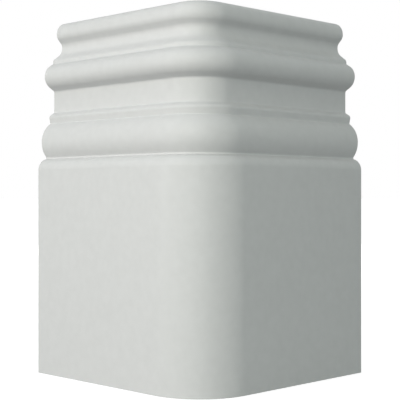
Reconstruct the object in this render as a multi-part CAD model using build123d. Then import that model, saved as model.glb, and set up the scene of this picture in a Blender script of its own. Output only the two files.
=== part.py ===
from build123d import *
import os
from math import acos, cos, degrees, radians, sin, sqrt, tan

# Baseboard outside corner block, moulded in one piece. Two short legs wrap the outside corner of a wall,
# and the run of mouldings is carried along both of them and round the soft corner between them.
# Frame: the origin is the wall's corner edge at floor level, +Z is up, the wall fills the quadrant +X +Y,
# and the moulded faces look along -X and -Y. All sizes are in millimetres.

# The block as a whole
height = 196.85
leg_length = 127.5  # along a plinth face, from the sharp corner that it would have to the butt end
thickness = 25.4  # from the wall to the plinth face
corner_radius = 31.5  # of the plinth face round the corner

# The moulded section, from the top down. A setback is the distance of a face behind the plinth face.
roll_radius = 6.9
roll_setback = 12.75
roll_under_radius = 4.4  # of the turn from the roll's front into the slope under it
roll_under_angle = 45  # of that slope, from the upright
scotia_depth = 3.8  # of the hollow behind the front of the top roll
scotia_upper_radius = 3.75
scotia_lower_radius = 6.1
scotia_foot_angle = 36.5  # of the slope that ends the hollow, above the horizontal
fillet_setback = 10.25
fillet_height = 2.05
upper_torus_setback = 4.4
upper_torus_radius = 7.0
upper_torus_slopes = 7.8  # the setback where the slopes on top of the torus and under it meet its arc
neck_setback = 11.0
neck_height = 12.1
bead_top_angle = 31  # of the slope on top of the bead, above the horizontal
bead_setback = 7.3
bead_foot_setback = 8.25
bead_height = 4.1
lower_torus_setback = 2.3
lower_torus_radius = 12.5
quirk_setback = 5.45  # of the narrow flat between the lower torus and the plinth's rounded top
lower_torus_slope = 0.75  # how far in front of the quirk the torus's arc gives way to the slope under it
quirk_height = 0.9
ovolo_radius = 6.5

# Radii that ease the arrises and the inner corners of the mould
scotia_arris_radius = 2.2
bead_arris_radius = 1.8
torus_root_radius = 1.5  # where the upper torus springs from the neck
bead_root_radius = 1.05  # where the bead springs from the neck
groove_radius = 0.5  # in the narrow grooves between members


def drop(radius, run):
    """Return how far up or down two points lie that are radius apart and run apart on the level."""
    return sqrt(radius**2 - run**2)


def round_member(start, setback, radius, end_setback):
    """Return the arc that bulges from start to its front at setback, and back down to end_setback."""
    centre = setback + radius
    level = start.Y - drop(radius, centre - start.X)
    return ThreePointArc(start, (setback, level), (end_setback, level - drop(radius, centre - end_setback)))


def run_out(arc, setback):
    """Return the straight line that carries an arc on from its end, along its own way, to a setback."""
    end, way = arc @ 1, arc % 1
    return Line(end, end + way * ((setback - end.X) / way.X))


def moulding_section(plane, reach):
    """Return the section on a plane, setbacks along local X as far as reach and heights along local Y."""
    with BuildSketch(plane) as section:
        with BuildLine():
            # The top roll turns under into a slope, and the slope runs tangent into the hollow.
            roll_level = height - roll_radius
            roll = CenterArc((roll_setback + roll_radius, roll_level), roll_radius, 90, 90)
            under_centre = (roll_setback + roll_under_radius, roll_level)
            under = CenterArc(under_centre, roll_under_radius, 180, roll_under_angle)
            scotia_setback = roll_setback + scotia_depth
            hollow_start = scotia_setback - scotia_upper_radius * (1 - cos(radians(roll_under_angle)))
            slope_under = run_out(under, hollow_start)
            scotia_level = (slope_under @ 1).Y - scotia_upper_radius * sin(radians(roll_under_angle))
            upper_centre = (scotia_setback - scotia_upper_radius, scotia_level)
            CenterArc(upper_centre, scotia_upper_radius, 0, roll_under_angle)
            lower_centre = (scotia_setback - scotia_lower_radius, scotia_level)
            hollow = CenterArc(lower_centre, scotia_lower_radius, 0, scotia_foot_angle - 90)
            slope = run_out(hollow, fillet_setback)
            flat = Line(slope @ 1, slope @ 1 - Vector(0, fillet_height))

            # The upper torus is an arc between two slopes of one pitch, tangent to both.
            torus_run = upper_torus_setback + upper_torus_radius - upper_torus_slopes
            torus_pitch = torus_run / drop(upper_torus_radius, torus_run)
            shed_foot = (flat @ 1).Y - (fillet_setback - upper_torus_slopes) * torus_pitch
            shed = Line(flat @ 1, (upper_torus_slopes, shed_foot))
            upper_torus = round_member(shed @ 1, upper_torus_setback, upper_torus_radius, upper_torus_slopes)
            torus_foot = run_out(upper_torus, neck_setback)
            neck = Line(torus_foot @ 1, torus_foot @ 1 - Vector(0, neck_height))

            bead_level = (neck @ 1).Y - (neck_setback - bead_setback) * tan(radians(bead_top_angle))
            bead_top = Line(neck @ 1, (bead_setback, bead_level))
            bead = Line(bead_top @ 1, (bead_foot_setback, bead_level - bead_height))
            arc_end = quirk_setback - lower_torus_slope
            lower_torus = round_member(bead @ 1, lower_torus_setback, lower_torus_radius, arc_end)
            lower_foot = run_out(lower_torus, quirk_setback)
            quirk = Line(lower_foot @ 1, lower_foot @ 1 - Vector(0, quirk_height))

            # The ovolo is tangent to the plinth face, and the quirk cuts it off just short of its crown.
            ovolo_run = ovolo_radius - quirk_setback
            ovolo_turn = degrees(acos(ovolo_run / ovolo_radius))
            plinth_top = (quirk @ 1).Y - drop(ovolo_radius, ovolo_run)
            ovolo = CenterArc((ovolo_radius, plinth_top), ovolo_radius, 180 - ovolo_turn, ovolo_turn)
            Polyline(ovolo @ 1, (0, 0), (reach, 0), (reach, height), roll @ 0)
        make_face()

        for corner, radius in (
            (slope @ 1, scotia_arris_radius),
            (flat @ 1, groove_radius),
            (torus_foot @ 1, torus_root_radius),
            (neck @ 1, bead_root_radius),
            (bead_top @ 1, bead_arris_radius),
            (bead @ 1, groove_radius),
            (lower_foot @ 1, groove_radius),
            (quirk @ 1, groove_radius),
        ):
            fillet(section.vertices().sort_by_distance(corner)[0], radius)
    return section.sketch


# The centre of the corner's turn lies as far behind both plinth faces as the corner's radius.
turn_centre = corner_radius - thickness
leg_end = leg_length - thickness
butt_end = Plane((-thickness, leg_end, 0), x_dir=(1, 0, 0), z_dir=(0, -1, 0))
turn_start = Plane((-thickness, turn_centre, 0), x_dir=(1, 0, 0), z_dir=(0, -1, 0))
diagonal = Plane((0, 0, 0), x_dir=(1, 1, 0), z_dir=(1, -1, 0))

# Each leg is the section drawn out from its butt end to the start of the turn.
leg = extrude(moulding_section(butt_end, thickness), leg_length - corner_radius)

# The corner is the same section turned a quarter about the upright centre line, less the wall's own corner.
turn_axis = Axis((turn_centre, turn_centre, 0), (0, 0, 1))
turned = revolve(moulding_section(turn_start, corner_radius), turn_axis, 90)
wall_corner = Box(corner_radius, corner_radius, height, align=Align.MIN)
corner_block = leg + mirror(leg, diagonal) + (turned - wall_corner)

os.makedirs("parts", exist_ok=True)
export_step(corner_block, "parts/corner_block.step")
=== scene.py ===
import bpy
import numpy as np
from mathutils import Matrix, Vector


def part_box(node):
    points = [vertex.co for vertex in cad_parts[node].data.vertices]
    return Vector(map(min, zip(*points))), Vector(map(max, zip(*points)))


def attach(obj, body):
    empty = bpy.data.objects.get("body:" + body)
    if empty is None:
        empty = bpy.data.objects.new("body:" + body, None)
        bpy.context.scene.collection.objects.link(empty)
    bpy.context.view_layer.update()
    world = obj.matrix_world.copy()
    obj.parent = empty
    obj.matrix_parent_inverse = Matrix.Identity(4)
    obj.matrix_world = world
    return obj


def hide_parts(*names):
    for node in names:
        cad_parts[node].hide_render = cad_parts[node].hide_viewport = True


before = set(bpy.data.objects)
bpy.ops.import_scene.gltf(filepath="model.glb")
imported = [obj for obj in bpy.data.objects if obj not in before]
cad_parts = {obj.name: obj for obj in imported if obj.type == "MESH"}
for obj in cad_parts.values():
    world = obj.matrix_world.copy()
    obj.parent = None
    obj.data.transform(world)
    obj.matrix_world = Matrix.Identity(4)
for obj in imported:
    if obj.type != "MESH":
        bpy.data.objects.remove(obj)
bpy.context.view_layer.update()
print("frame loaded:", ", ".join(sorted(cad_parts)))

mm = 0.001

# the block as a whole, in millimetres and degrees, its overall sizes worked out from the frame
blockLow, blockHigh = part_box("corner_block")
block = {
    "height": blockHigh.z / mm,
    "thickness": -blockLow.x / mm,  # from the wall to the plinth face
    "legEnd": blockHigh.x / mm,  # of both legs, from the wall's corner
    "cornerRadius": 31.5,  # of the plinth face round the corner
    "softArris": 0.2,  # along the foot and the back
    "endArris": 0.15,  # round the cut ends, less than softArris, so that the section stays open there
    "arrisSteps": 4,  # across an eased arris
    "turnStep": 2.5,  # between the sections round the corner
    "arcStep": 4.0,  # between the points of the section's arcs
    "smallArcStep": 12.0,  # the same on an easing arc up to smallRadius
    "smallRadius": 3.0,
    "newtonSteps": 8,  # to find the centre of an easing arc
    "mergeGap": 1e-6,  # points of the section nearer than this are one
    "sharpAngle": 60.0,  # between two faces, past which the edge is shaded sharp
}

# the moulded section from the top down; a setback is measured behind the plinth face
moulding = {
    "rollRadius": 6.9,
    "rollSetback": 12.75,
    "rollUnderRadius": 4.4,  # of the turn from the roll's front into the slope under it
    "rollUnderAngle": 45.0,  # of that slope, from the upright
    "scotiaDepth": 3.8,  # behind the front of the roll
    "scotiaUpperRadius": 3.75,
    "scotiaLowerRadius": 6.1,
    "scotiaFootAngle": 36.5,  # of the slope that ends the hollow, above the level
    "filletSetback": 10.25,
    "filletHeight": 2.05,
    "upperTorusSetback": 4.4,
    "upperTorusRadius": 7.0,
    "upperTorusSlopes": 7.8,  # setback where the slopes above and under the torus meet its arc
    "neckSetback": 11.0,
    "neckHeight": 12.1,
    "beadTopAngle": 31.0,  # of the slope on top of the bead, above the level
    "beadSetback": 7.3,
    "beadFootSetback": 8.25,
    "beadHeight": 4.1,
    "lowerTorusSetback": 2.3,
    "lowerTorusRadius": 12.5,
    "quirkSetback": 5.45,  # of the narrow flat between the lower torus and the plinth's rounded top
    "lowerTorusSlope": 0.75,  # how far in front of the quirk the torus's arc gives way to its slope
    "quirkHeight": 0.9,
    "ovoloRadius": 6.5,  # tangent to the plinth face
    # radii that ease the arrises and the roots
    "scotiaArris": 2.2,
    "beadArris": 1.8,
    "torusRoot": 1.5,
    "beadRoot": 1.05,
    "groove": 0.5,
}


# points on the circle about centre from start to end, the short way round, at most step degrees apart
def arcPoints(centre, start, end, step=block["arcStep"]):
    startAngle, endAngle = (np.arctan2(p[1] - centre[1], p[0] - centre[0]) for p in (start, end))
    turn = (endAngle - startAngle + np.pi) % (2 * np.pi) - np.pi
    steps = max(2, int(np.ceil(np.degrees(abs(turn)) / step)))
    angles = startAngle + turn * np.linspace(0, 1, steps + 1)
    radius = np.linalg.norm(start - centre)
    return centre + radius * np.stack([np.cos(angles), np.sin(angles)], axis=1)


# a flat member: how far a point stands in front of the line from start down to end, and the way out of it
def flatMember(start, end):
    along = (end - start) / np.linalg.norm(end - start)
    out = np.array([along[1], -along[0]])
    return lambda point: (out @ (point - start), out)


# a round member: how far a point stands outside the circle, and the way out of it
def roundMember(centre, radius):
    def away(point):
        gap = np.linalg.norm(point - centre)
        return gap - radius, (point - centre) / gap

    return away


# the arc that eases the corner between two members: its centre lies offset away from both, in front of them
# in a root and behind them on an arris, and is found by Newton's rule from the corner itself
def easingArc(corner, upper, lower, offset):
    centre = corner
    for _ in range(block["newtonSteps"]):
        gaps, ways = zip(upper(centre), lower(centre))
        centre = centre - np.linalg.solve(np.array(ways), np.array(gaps) - offset)
    (_, upperWay), (_, lowerWay) = upper(centre), lower(centre)
    step = block["arcStep"] if abs(offset) > block["smallRadius"] else block["smallArcStep"]
    return arcPoints(centre, centre - offset * upperWay, centre - offset * lowerWay, step)


# the height of a circle's side above its centre, at a run from the upright line through the centre
def rise(radius, run):
    return np.sqrt(radius**2 - run**2)


# the pitch of the circle's tangent there, as fall over run
def pitch(radius, run):
    return run / rise(radius, run)


# the arcs of the top roll and the hollow: the roll's front turns under into a slope, which runs tangent into
# the hollow, and the hollow ends where the slope at its foot is tangent to it
def rollAndHollow(m, height):
    under, foot = np.radians([m["rollUnderAngle"], m["scotiaFootAngle"]])
    way = np.array([np.cos(under), np.sin(under)])  # square to the slope, into the block
    rollCentre = np.array([m["rollSetback"] + m["rollRadius"], height - m["rollRadius"]])
    rollFront = rollCentre - [m["rollRadius"], 0]
    underCentre = rollFront + [m["rollUnderRadius"], 0]
    underEnd = underCentre - m["rollUnderRadius"] * way
    slopeRun = m["scotiaDepth"] - (m["rollUnderRadius"] + m["scotiaUpperRadius"]) * (1 - way[0])
    hollowTop = underEnd + [slopeRun, -slopeRun / np.tan(under)]
    upperCentre = hollowTop - m["scotiaUpperRadius"] * way
    deepest = upperCentre + [m["scotiaUpperRadius"], 0]
    lowerCentre = deepest - [m["scotiaLowerRadius"], 0]
    hollowEnd = lowerCentre + m["scotiaLowerRadius"] * np.array([np.sin(foot), -np.cos(foot)])
    return [
        arcPoints(rollCentre, rollCentre + [0, m["rollRadius"]], rollFront),
        arcPoints(underCentre, rollFront, underEnd),
        arcPoints(upperCentre, hollowTop, deepest),
        arcPoints(lowerCentre, deepest, hollowEnd),
    ]


# the face of the moulding as points of setback and height, from the crown of the top roll to the plinth: each
# member hangs from the one above, a round one by its circle's height at the setbacks where it starts and ends
def mouldedFace(m, height):
    stretches = rollAndHollow(m, height)
    hollowEnd = stretches[-1][-1]
    footDrop = (hollowEnd[0] - m["filletSetback"]) * np.tan(np.radians(m["scotiaFootAngle"]))
    arris = np.array([m["filletSetback"], hollowEnd[1] - footDrop])
    filletFoot = arris - [0, m["filletHeight"]]

    # the upper torus is an arc between two slopes of one pitch, tangent to both
    upperRadius = m["upperTorusRadius"]
    upperRun = m["upperTorusSetback"] + upperRadius - m["upperTorusSlopes"]
    topDrop = (m["filletSetback"] - m["upperTorusSlopes"]) * pitch(upperRadius, upperRun)
    torusTop = np.array([m["upperTorusSlopes"], filletFoot[1] - topDrop])
    torusEnd = torusTop - [0, 2 * rise(upperRadius, upperRun)]
    torusDrop = (m["neckSetback"] - m["upperTorusSlopes"]) * pitch(upperRadius, upperRun)
    torusFoot = np.array([m["neckSetback"], torusEnd[1] - torusDrop])
    neckFoot = torusFoot - [0, m["neckHeight"]]

    beadDrop = (m["neckSetback"] - m["beadSetback"]) * np.tan(np.radians(m["beadTopAngle"]))
    beadTop = np.array([m["beadSetback"], neckFoot[1] - beadDrop])
    beadFoot = np.array([m["beadFootSetback"], beadTop[1] - m["beadHeight"]])

    # the lower torus springs from the foot of the bead and runs out into a slope, tangent to it
    lowerRadius = m["lowerTorusRadius"]
    lowerAxis = m["lowerTorusSetback"] + lowerRadius
    lowerCentre = np.array([lowerAxis, beadFoot[1] - rise(lowerRadius, lowerAxis - beadFoot[0])])
    endRun = lowerAxis - m["quirkSetback"] + m["lowerTorusSlope"]
    lowerEnd = lowerCentre - [endRun, rise(lowerRadius, endRun)]
    quirkTop = lowerEnd + np.array([1, -pitch(lowerRadius, endRun)]) * m["lowerTorusSlope"]
    quirkFoot = quirkTop - [0, m["quirkHeight"]]
    ovoloRise = rise(m["ovoloRadius"], m["ovoloRadius"] - m["quirkSetback"])
    plinthTop = np.array([0, quirkFoot[1] - ovoloRise])
    ovoloCentre = plinthTop + [m["ovoloRadius"], 0]

    # the members under the hollow, the round ones with their centres, and then each corner between them with
    # its radius: above nought in a root, under it on an arris, and nought where the two run on tangent
    members = [
        (flatMember(hollowEnd, arris), None),
        (flatMember(arris, filletFoot), None),
        (flatMember(filletFoot, torusTop), None),
        (flatMember(torusEnd, torusFoot), None),
        (flatMember(torusFoot, neckFoot), None),
        (flatMember(neckFoot, beadTop), None),
        (flatMember(beadTop, beadFoot), None),
        (roundMember(lowerCentre, lowerRadius), lowerCentre),
        (flatMember(lowerEnd, quirkTop), None),
        (flatMember(quirkTop, quirkFoot), None),
        (roundMember(ovoloCentre, m["ovoloRadius"]), ovoloCentre),
    ]
    corners = [
        (arris, -m["scotiaArris"]),
        (filletFoot, m["groove"]),
        (torusTop, -upperRadius),
        (torusFoot, m["torusRoot"]),
        (neckFoot, m["beadRoot"]),
        (beadTop, -m["beadArris"]),
        (beadFoot, m["groove"]),
        (lowerEnd, 0),
        (quirkTop, m["groove"]),
        (quirkFoot, m["groove"]),
    ]
    for (upperSide, centre), (lowerSide, _), (corner, offset) in zip(members, members[1:], corners):
        easing = easingArc(corner, upperSide, lowerSide, offset) if offset else corner[None]
        if centre is not None:
            stretches.append(arcPoints(centre, stretches[-1][-1], easing[0]))
        stretches.append(easing)
    stretches.append(arcPoints(ovoloCentre, stretches[-1][-1], plinthTop))
    return np.vstack(stretches)


# the whole section as a ring: the face, then round the eased arrises of the foot, of the back's foot and of
# the back's top. With it comes which points are the back's, those of the last two arrises
def sectionRing(b, m):
    soft = b["softArris"]
    corners = [
        (np.array([0, 0]), np.array([0, soft]), np.array([soft, 0])),
        (np.array([b["thickness"], 0]), np.array([-soft, 0]), np.array([0, soft])),
        (np.array([b["thickness"], b["height"]]), np.array([0, -soft]), np.array([-soft, 0])),
    ]
    step = 90 / b["arrisSteps"]
    eased = [arcPoints(c + start + end, c + start, c + end, step) for c, start, end in corners]
    ring = np.vstack([mouldedFace(m, b["height"]), *eased])
    ring = ring[np.linalg.norm(ring - np.roll(ring, 1, axis=0), axis=1) > b["mergeGap"]]
    return ring, np.arange(len(ring)) >= len(ring) - len(eased[1]) - len(eased[2])


# the ring's way out at each point: a quarter turn from the line between its neighbours, both at one distance
def ringNormals(ring):
    before, after = np.roll(ring, 1, axis=0) - ring, np.roll(ring, -1, axis=0) - ring
    before /= np.linalg.norm(before, axis=1)[:, None]
    after /= np.linalg.norm(after, axis=1)[:, None]
    along = after - before
    out = np.stack([along[:, 1], -along[:, 0]], axis=1)
    return out / np.linalg.norm(out, axis=1)[:, None]


# the stations of the path: down one leg, a quarter turn about the turn's centre, and out along the other leg.
# A station is the foot of its section on the line through the turn's centre, the way it faces, and how far
# its ring draws in, by a quarter circle of the arris at each cut end
def pathStations(b):
    centre = b["cornerRadius"] - b["thickness"]
    lift = np.radians(np.linspace(90, 0, b["arrisSteps"] + 1))
    fromEnd = b["endArris"] * (1 - np.sin(lift))
    drawnIn = b["endArris"] * (1 - np.cos(lift))
    legs = b["legEnd"] - centre - fromEnd
    halfSteps = int(np.ceil(45 / b["turnStep"]))  # so that a station stands in the wall's corner
    turn = np.radians(np.linspace(0, 90, 2 * halfSteps + 1))
    along = np.concatenate([legs, np.zeros_like(turn), legs[::-1]])
    facing = np.concatenate([np.zeros_like(legs), turn, np.full_like(legs, np.pi / 2)])
    inset = np.concatenate([drawnIn, np.zeros_like(turn), drawnIn[::-1]])
    outward = -np.stack([np.cos(facing), np.sin(facing)], axis=1)
    sideways = np.stack([np.sin(facing), np.cos(facing)], axis=1)
    foot = centre + along[:, None] * sideways
    return foot, outward, inset


# every point of the block, ring by station: the ring stands out from its station's foot along the way it
# faces, and the back's points are stretched by one over the larger of sine and cosine, which squares the
# wall's corner
def blockPoints(b, ring, isBack):
    foot, outward, inset = pathStations(b)
    section = ring[:, None] - inset[None, :, None] * ringNormals(ring)[:, None]
    stretch = np.where(isBack[:, None], 1 / np.abs(outward).max(axis=1), 1)
    reach = (b["cornerRadius"] - section[..., 0]) * stretch
    plan = foot + reach[..., None] * outward
    return np.concatenate([plan, section[..., 1:]], axis=2) * mm


# the four corners of every cell between neighbouring rings and stations, the ring closed on itself
def ringQuads(number):
    closed = np.vstack([number, number[:1]])
    cells = [closed[:-1, :-1], closed[1:, :-1], closed[1:, 1:], closed[:-1, 1:]]
    return np.stack(cells, axis=-1).reshape(-1, 4)


# the block is the section's ring carried along the path, with one face across each cut end
def makeBlock(b, m):
    ring, isBack = sectionRing(b, m)
    points = blockPoints(b, ring, isBack)
    ringCount, stationCount = points.shape[:2]
    number = np.arange(ringCount * stationCount).reshape(ringCount, stationCount)
    cutEnds = [number[::-1, 0].tolist(), number[:, -1].tolist()]
    mesh = bpy.data.meshes.new("cornerBlock")
    mesh.from_pydata(points.reshape(-1, 3).tolist(), [], ringQuads(number).tolist() + cutEnds)
    mesh.shade_smooth()
    mesh.set_sharp_from_angle(angle=np.radians(b["sharpAngle"]))

    # one on the cells of the back and on the cut ends, nought on the moulded face, the foot and the top
    onBack = np.repeat(isBack & np.roll(isBack, -1), stationCount - 1)
    backing = mesh.attributes.new("backing", "FLOAT", "FACE")
    ofEachFace = np.concatenate([onBack, np.ones(len(cutEnds))])
    backing.data.foreach_set("value", ofEachFace.astype(np.float32))
    piece = bpy.data.objects.new("moulded_corner_block", mesh)
    bpy.context.scene.collection.objects.link(piece)
    level = piece.modifiers.new("levelNormals", "WEIGHTED_NORMAL")  # keeps the flats flat up to the arrises
    level.keep_sharp = True
    print("block made:", ringCount, "points round the section,", stationCount, "stations along it")
    return piece


# the primer: an off-white matt coat, sprayed, so that it is faintly mottled and has a fine peel like an
# orange's. Sizes and depths are in millimetres
primer = {
    "colour": (0.6, 0.6, 0.6),
    "darker": (0.56, 0.56, 0.56),
    "mottleSize": 4.5,
    "mottleDetail": 2,
    "roughness": 0.45,  # where the coat is full
    "dryRoughness": 0.6,
    "fullCoat": 0.3,  # the mottle's value where the coat is full, and where it is dry
    "dryCoat": 0.7,
    "gloss": 0.2,
    "peelSize": 1.2,
    "peelDetail": 1,
    "peelDepth": 0.008,
    "grainSize": 0.35,
    "grainDetail": 2,
    "grainDepth": 0.006,
    "backGrain": 3.0,  # times the face's grain, on the back and the cut ends
}


# noise at the place given, with cells of a size in millimetres
def addNoise(nodes, links, place, size, detail):
    noise = nodes.new("ShaderNodeTexNoise")
    noise.inputs["Scale"].default_value = 1 / (size * mm)
    noise.inputs["Detail"].default_value = detail
    links.new(place, noise.inputs["Vector"])
    return noise.outputs["Fac"]


# a socket's value, mapped from the range low to high to the range start to end, straight or by a soft curve
def mapRange(nodes, links, value, low, high, start, end, curve="LINEAR"):
    ramp = nodes.new("ShaderNodeMapRange")
    ramp.interpolation_type = curve
    for name, number in (("From Min", low), ("From Max", high), ("To Min", start), ("To Max", end)):
        ramp.inputs[name].default_value = number
    links.new(value, ramp.inputs["Value"])
    return ramp.outputs["Result"]


# two sockets' values, added or multiplied
def combine(nodes, links, operation, first, second):
    pair = nodes.new("ShaderNodeMath")
    pair.operation = operation
    links.new(first, pair.inputs[0])
    links.new(second, pair.inputs[1])
    return pair.outputs[0]


# a colour that goes from the first to the second as the factor goes from nought to one
def blendColours(nodes, links, factor, first, second):
    blend = nodes.new("ShaderNodeMix")
    blend.data_type = "RGBA"
    blend.inputs["A"].default_value = (*first, 1)
    blend.inputs["B"].default_value = (*second, 1)
    links.new(factor, blend.inputs["Factor"])
    return blend.outputs["Result"]


# a bump of a depth in millimetres, laid over the normal of the one before it
def addBump(nodes, links, relief, depth, under):
    bump = nodes.new("ShaderNodeBump")
    bump.inputs["Distance"].default_value = depth * mm
    links.new(relief, bump.inputs["Height"])
    if under:
        links.new(under, bump.inputs["Normal"])
    return bump.outputs["Normal"]


# the mottle shifts the colour and the roughness together, and the peel lies under the grain, which is the
# noise times one on the face and times backGrain on the back and the cut ends
def makePrimer(p):
    material = bpy.data.materials.new("primedMoulding")
    material.use_nodes = True
    nodes, links = material.node_tree.nodes, material.node_tree.links
    shader = nodes["Principled BSDF"]
    shader.inputs["Specular IOR Level"].default_value = p["gloss"]
    where = nodes.new("ShaderNodeTexCoord").outputs["Object"]
    mottle = addNoise(nodes, links, where, p["mottleSize"], p["mottleDetail"])
    colour = blendColours(nodes, links, mottle, p["colour"], p["darker"])
    links.new(colour, shader.inputs["Base Color"])
    roughness = mapRange(
        nodes, links, mottle, p["fullCoat"], p["dryCoat"], p["roughness"], p["dryRoughness"]
    )
    links.new(roughness, shader.inputs["Roughness"])

    peelNoise = addNoise(nodes, links, where, p["peelSize"], p["peelDetail"])
    peel = addBump(nodes, links, peelNoise, p["peelDepth"], None)
    grainNoise = addNoise(nodes, links, where, p["grainSize"], p["grainDetail"])
    back = nodes.new("ShaderNodeAttribute")
    back.attribute_name = "backing"
    strength = mapRange(nodes, links, back.outputs["Fac"], 0, 1, 1, p["backGrain"])
    grain = combine(nodes, links, "MULTIPLY", grainNoise, strength)
    links.new(addBump(nodes, links, grain, p["grainDepth"], peel), shader.inputs["Normal"])
    print("primer mixed")
    return material


piece = makeBlock(block, moulding)
piece.data.materials.append(makePrimer(primer))
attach(piece, "root")
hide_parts("corner_block")

# a plain floor that shows white with the block's faint shadow on it, in metres: near the block, where the
# lamps reach, it needs less glow of its own than far away
studioFloor = {
    "halfSide": 30.0,
    "colour": (0.3, 0.3, 0.3),  # to the lamps
    "roughness": 0.9,
    "glowColour": (1, 1, 1),
    "nearGlow": 0.83,
    "farGlow": 0.9,
    "nearRadius": 0.4,
    "farRadius": 2.5,
}


# one for the rays that should find a white background: those of the camera, of gloss and of glass
def whiteRays(nodes, links):
    rays = nodes.new("ShaderNodeLightPath").outputs
    cameraOrGloss = combine(nodes, links, "ADD", rays["Is Camera Ray"], rays["Is Glossy Ray"])
    return combine(nodes, links, "ADD", cameraOrGloss, rays["Is Transmission Ray"])


# the floor is one square, and its glow is a soft step of the distance from the block, for white rays alone
def makeFloor(f):
    half = f["halfSide"]
    corners = [(-half, -half, 0), (half, -half, 0), (half, half, 0), (-half, half, 0)]
    mesh = bpy.data.meshes.new("studioFloor")
    mesh.from_pydata(corners, [], [(0, 1, 2, 3)])
    floor = bpy.data.objects.new("studio_floor", mesh)
    bpy.context.scene.collection.objects.link(floor)
    material = bpy.data.materials.new("paleFloor")
    material.use_nodes = True
    nodes, links = material.node_tree.nodes, material.node_tree.links
    shader = nodes["Principled BSDF"]
    shader.inputs["Base Color"].default_value = (*f["colour"], 1)
    shader.inputs["Roughness"].default_value = f["roughness"]
    shader.inputs["Emission Color"].default_value = (*f["glowColour"], 1)
    away = nodes.new("ShaderNodeVectorMath")
    away.operation = "LENGTH"
    links.new(nodes.new("ShaderNodeTexCoord").outputs["Object"], away.inputs[0])
    glow = mapRange(
        nodes, links, away.outputs["Value"],
        f["nearRadius"], f["farRadius"], f["nearGlow"], f["farGlow"], "SMOOTHSTEP",
    )
    white = combine(nodes, links, "MULTIPLY", glow, whiteRays(nodes, links))
    links.new(white, shader.inputs["Emission Strength"])
    mesh.materials.append(material)
    print("floor laid")


makeFloor(studioFloor)

# soft studio light: every lamp looks at the aim from an azimuth and elevation in degrees, with its distance
# and its side in metres
studio = {
    "ambient": (0.211, 0.259, 0.258),
    "background": (1, 1, 1),
    "aim": (0.02, 0.02, 0.1),
    "lamps": {
        "keyLamp": {
            "azimuth": -70, "elevation": 25, "distance": 1.1, "side": 0.5, "watts": (4.94, 4.7, 4.29),
        },
        "sideLamp": {
            "azimuth": -120, "elevation": 6, "distance": 1.6, "side": 0.5, "watts": (6.83, 6.73, 6.61),
        },
        "frontLamp": {
            "azimuth": -45, "elevation": 6, "distance": 1.6, "side": 0.5, "watts": (7.5, 7.96, 7.64),
        },
        "highLamp": {
            "azimuth": -115, "elevation": 50, "distance": 1.4, "side": 0.8, "watts": (3.33, 3.3, 3.61),
        },
        "backLamp": {
            "azimuth": 135, "elevation": 6, "distance": 1.6, "side": 0.4, "watts": (9.3, 9, 8.8),
        },
    },
}


# a lamp stands at aim + distance * (sin azimuth cos elevation, -cos azimuth cos elevation, sin elevation)
def makeLamp(name, lamp, aim):
    azimuth, elevation = np.radians([lamp["azimuth"], lamp["elevation"]])
    level = np.cos(elevation)
    away = np.array([np.sin(azimuth) * level, -np.cos(azimuth) * level, np.sin(elevation)])
    light = bpy.data.lights.new(name, "AREA")
    light.shape = "SQUARE"
    light.size = lamp["side"]
    light.energy = max(lamp["watts"])
    light.color = np.array(lamp["watts"]) / light.energy
    holder = bpy.data.objects.new(name, light)
    holder.location = np.array(aim) + lamp["distance"] * away
    holder.rotation_euler = (np.pi / 2 - elevation, 0, azimuth)
    holder.visible_camera = False
    bpy.context.scene.collection.objects.link(holder)


# the world is the background for white rays, and the ambient light for all others
def makeWorld(s):
    world = bpy.data.worlds.new("studioWorld")
    world.use_nodes = True
    nodes, links = world.node_tree.nodes, world.node_tree.links
    colour = blendColours(nodes, links, whiteRays(nodes, links), s["ambient"], s["background"])
    links.new(colour, nodes["Background"].inputs["Color"])
    bpy.context.scene.world = world


makeWorld(studio)
for name, lamp in studio["lamps"].items():
    makeLamp(name, lamp, studio["aim"])
print("studio lit with", len(studio["lamps"]), "lamps")

# the camera looks level along the diagonal between the legs
camera = {
    "fromCorner": 491.13,  # millimetres, from the sharp corner that the plinth faces would have
    "height": 98.4,
    "lens": 93.742,
    "sensorWidth": 36.0,
    "shiftX": 0.0005,
    "shiftY": -0.0093,
    "clipStart": 0.01,  # metres
    "clipEnd": 200.0,
}


# on the diagonal, the camera stands fromCorner times the root of a half out from each plinth face
def makeCamera(c, b):
    back = b["thickness"] + c["fromCorner"] * np.sqrt(0.5)
    lens = bpy.data.cameras.new("productCamera")
    lens.lens = c["lens"]
    lens.sensor_width = c["sensorWidth"]
    lens.shift_x, lens.shift_y = c["shiftX"], c["shiftY"]
    lens.clip_start, lens.clip_end = c["clipStart"], c["clipEnd"]
    holder = bpy.data.objects.new("productCamera", lens)
    holder.location = np.array([-back, -back, c["height"]]) * mm
    holder.rotation_euler = (np.pi / 2, 0, -np.pi / 4)
    bpy.context.scene.collection.objects.link(holder)
    bpy.context.scene.camera = holder
    print("camera placed")


makeCamera(camera, block)
bpy.context.scene.view_settings.view_transform = "Standard"
